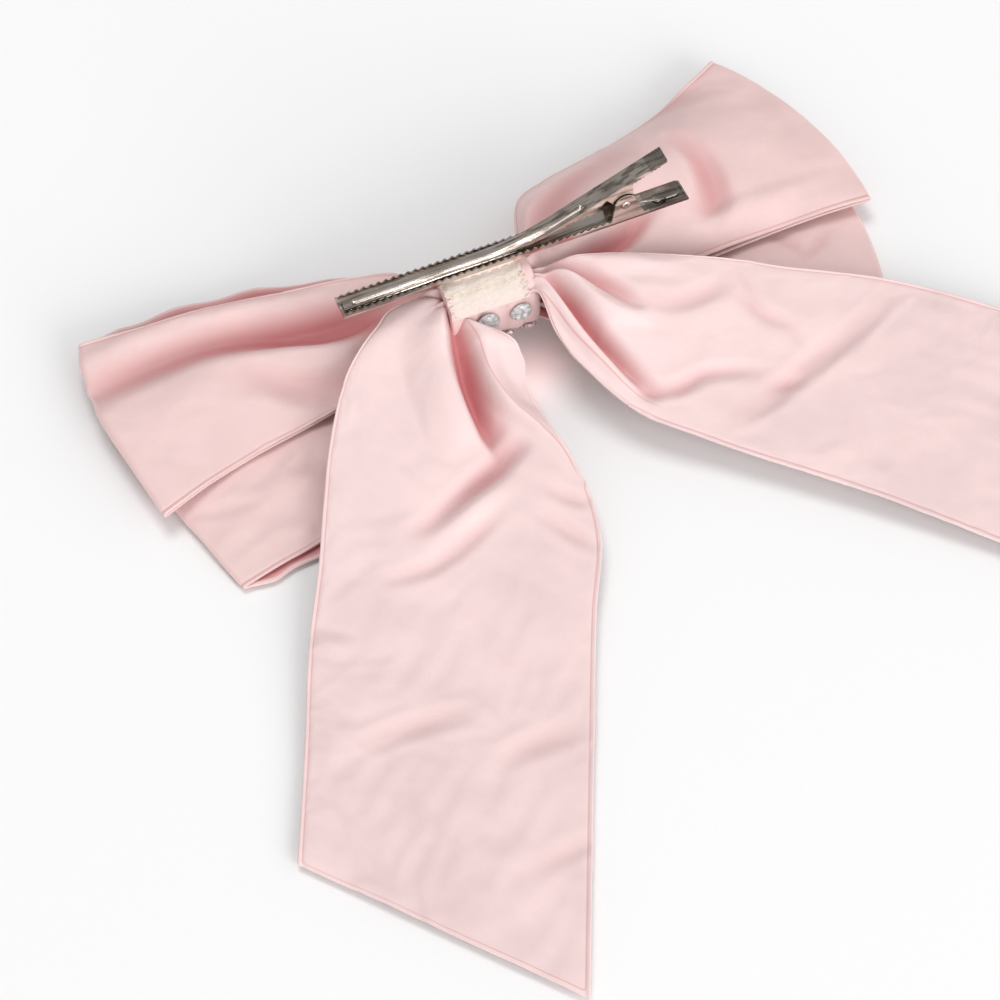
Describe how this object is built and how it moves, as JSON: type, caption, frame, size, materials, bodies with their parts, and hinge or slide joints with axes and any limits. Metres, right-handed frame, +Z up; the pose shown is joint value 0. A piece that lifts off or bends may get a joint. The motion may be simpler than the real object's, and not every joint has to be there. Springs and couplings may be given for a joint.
{
  "type": "alligator hair clip with bow",
  "caption": "Large satin double bow with two ribbon tails and a jewelled knot, on a sprung toothed alligator clip for hair.",
  "frame": {"origin": "on the surface that the bow lies on, face down, under the middle of the whole object's box", "axes": "+Z up, out of the bow's back where the clip is; +X along the clip from its jaw tip to its handles; the tails leave the knot towards -Y"},
  "size_m": [0.266, 0.2572, 0.0511],
  "materials": {
    "steel": "nickel-plated pressed steel, polished, with fine drawing marks",
    "satin": "pale pink satin ribbon, double layer, soft sheen",
    "thread": "pink sewing thread",
    "label": "plain cream woven tape",
    "glue": "set hot-melt adhesive, slightly translucent",
    "stone": "clear faceted glass, polished"
  },
  "bodies": {
    "bow": {"lower_jaw": "steel", "hinge_pin": "steel", "torsion_spring": "steel", "glue_bead": "glue", "knot_wrap": "satin", "gather_thread": "thread", "woven_label": "label", "label_tack_left": "thread", "label_tack_right": "thread", "back_bow": "satin", "front_bow": "satin", "stone_01": "stone", "stone_02": "stone", "stone_03": "stone", "stone_04": "stone", "stone_05": "stone", "stone_06": "stone", "stone_07": "stone", "stone_08": "stone", "stone_09": "stone", "stone_10": "stone", "stone_11": "stone"},
    "upper_jaw": {"upper_jaw": "steel"},
    "tail_left": {"tail_left": "satin"},
    "tail_right": {"tail_right": "satin"}
  },
  "joints": [
    {"name": "jaw_hinge", "type": "hinge", "parent": "bow", "child": "upper_jaw", "pos_m": [0.01436, 0.0676, 0.03916], "axis": [0, 1, 0], "range_deg": [0, 32], "stiffness_Nm_per_rad": 0.05, "springref_deg": -68.75, "deforming": ["torsion_spring"]},
    {"name": "tail_left_lift", "type": "hinge", "parent": "bow", "child": "tail_left", "pos_m": [-0.04, 0.0586, 0.0245], "axis": [-0.8988, 0.4384, 0], "range_deg": [0, 35]},
    {"name": "tail_right_lift", "type": "hinge", "parent": "bow", "child": "tail_right", "pos_m": [-0.0114, 0.0605, 0.025], "axis": [-0.7071, -0.7071, 0], "range_deg": [0, 35]}
  ]
}
